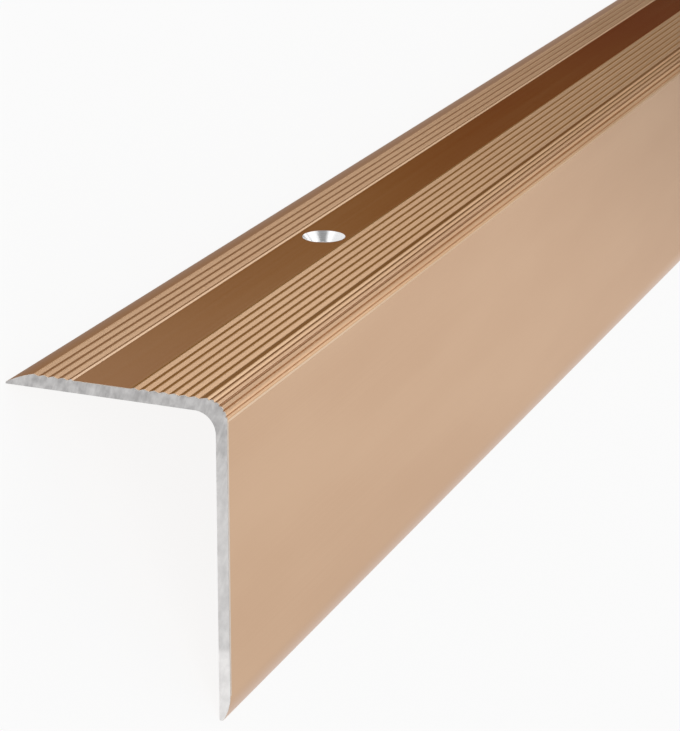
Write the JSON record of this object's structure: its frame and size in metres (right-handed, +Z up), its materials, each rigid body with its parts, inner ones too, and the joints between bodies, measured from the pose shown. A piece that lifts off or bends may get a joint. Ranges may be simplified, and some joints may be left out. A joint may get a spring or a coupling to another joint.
{
  "type": "stair nosing",
  "caption": "Extruded aluminium stair nosing: an unequal angle with a ribbed tread leg, a smooth band of countersunk screw holes, a rounded ribbed nose and a plain riser leg.",
  "frame": {"origin": "middle of the footprint on the floor, with the bar lying on its two long edges and the nose up", "axes": "+Y along the bar, +Z up, +X towards the side of the riser leg"},
  "size_m": [0.0768, 1, 0.0375],
  "materials": {
    "anodised_bronze": "satin bronze anodised, bare metal on the sawn ends and in the countersinks"
  },
  "bodies": {
    "root": {"nosing_profile": "anodised_bronze"}
  },
  "joints": []
}
